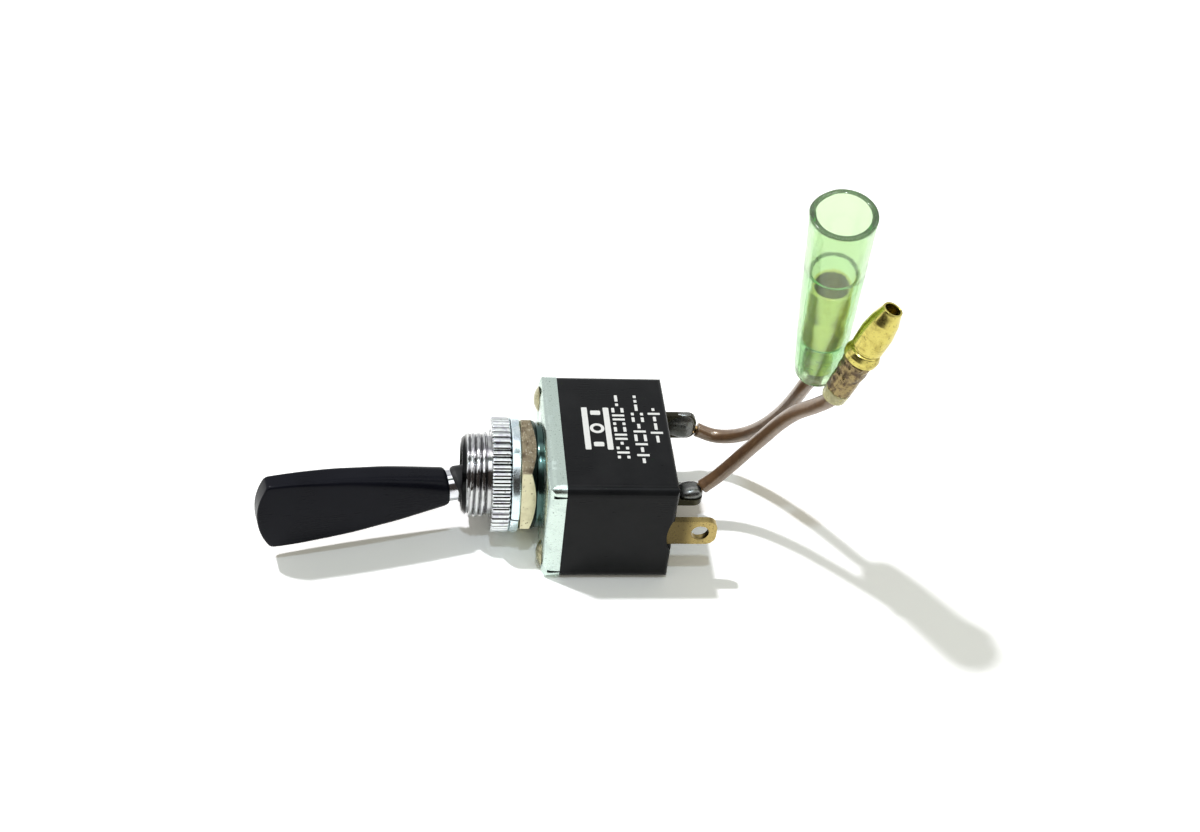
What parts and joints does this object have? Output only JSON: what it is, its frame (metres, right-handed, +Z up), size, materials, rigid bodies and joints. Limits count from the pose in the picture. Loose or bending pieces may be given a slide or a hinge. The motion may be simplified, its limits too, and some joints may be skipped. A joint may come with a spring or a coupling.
{
  "type": "panel toggle switch",
  "caption": "Bushing-mounted changeover toggle switch with a flat black paddle lever, black case with a steel cover, solder terminals and two leads ending in a sleeved socket and a bullet plug.",
  "frame": {"origin": "centre of the bushing at its shoulder, where the thread begins", "axes": "+X along the bushing from the lever towards the terminals, +Y along the row of terminals, +Z up from the surface that the switch lies on"},
  "size_m": [0.0793, 0.0268, 0.0607],
  "materials": {
    "paddle_black": "semi-gloss black moulded plastic with a soft sheen and worn corners",
    "steel_plated": "turned steel, nickel plated, slightly dulled",
    "rubber_black": "black rubber",
    "chrome": "bright nickel-chrome plating, dark grime in the roots",
    "zinc_blue": "blue-bright zinc plating",
    "brass_bright": "pale worn brass, scuffed",
    "zinc_pale": "pale zinc plated sheet, finely scratched",
    "brass_rivet": "brass",
    "phenolic_black": "black phenolic moulding, satin",
    "brass_dull": "tarnished brass",
    "silver_contact": "silver",
    "spring_steel": "bright spring wire",
    "solder_grey": "dark aged solder, glossy",
    "copper_strand": "bare stranded copper, browned",
    "pvc_brown": "brown PVC insulation with a soft sheen",
    "sleeve_green": "translucent green soft plastic",
    "bullet_brass": "golden brass, darker and mottled on the crimp",
    "collar_cream": "cream translucent plastic"
  },
  "bodies": {
    "switch_body": {"bushing": "chrome", "ring_nut": "chrome", "lock_washer": "zinc_blue", "hex_nut": "brass_bright", "cover": "zinc_pale", "cover_rivets": "brass_rivet", "case": "phenolic_black", "terminal_rear": "brass_dull", "terminal_front": "brass_dull", "terminal_common": "brass_dull", "fixed_contact_rear": "silver_contact", "fixed_contact_front": "silver_contact", "solder_rear": "solder_grey", "solder_common": "solder_grey", "wire_rear": "copper_strand", "wire_common": "copper_strand", "lead_rear": "pvc_brown", "lead_common": "pvc_brown", "socket_sleeve": "sleeve_green", "socket_terminal": "bullet_brass", "bullet_terminal": "bullet_brass", "bullet_collar": "collar_cream"},
    "lever": {"lever_handle": "paddle_black", "lever_shaft": "steel_plated", "lever_seal": "rubber_black", "pivot_pin": "steel_plated"},
    "plunger_group": {"plunger": "brass_bright", "plunger_spring": "spring_steel"},
    "rocker_group": {"rocker": "brass_bright", "rocker_buttons": "silver_contact"}
  },
  "joints": [
    {"name": "lever_tilt", "type": "hinge", "parent": "switch_body", "child": "lever", "pos_m": [-0.0018, 0, 0], "axis": [0, 0, -1], "range_deg": [0, 26]},
    {"name": "plunger_stroke", "type": "slide", "parent": "lever", "child": "plunger_group", "axis": [-0.9744, -0.225, 0], "range_m": [0, 0.0008], "stiffness_N_per_m": 20, "springref_m": -0.001, "deforming": ["plunger_spring"]},
    {"name": "rocker_tip", "type": "hinge", "parent": "switch_body", "child": "rocker_group", "pos_m": [0.0121, 0, 0], "axis": [0, 0, 1], "range_deg": [0, 18]}
  ],
  "couplings": [
    {"joint": "rocker_tip", "follows": "lever_tilt", "ratio": 0.69231}
  ]
}
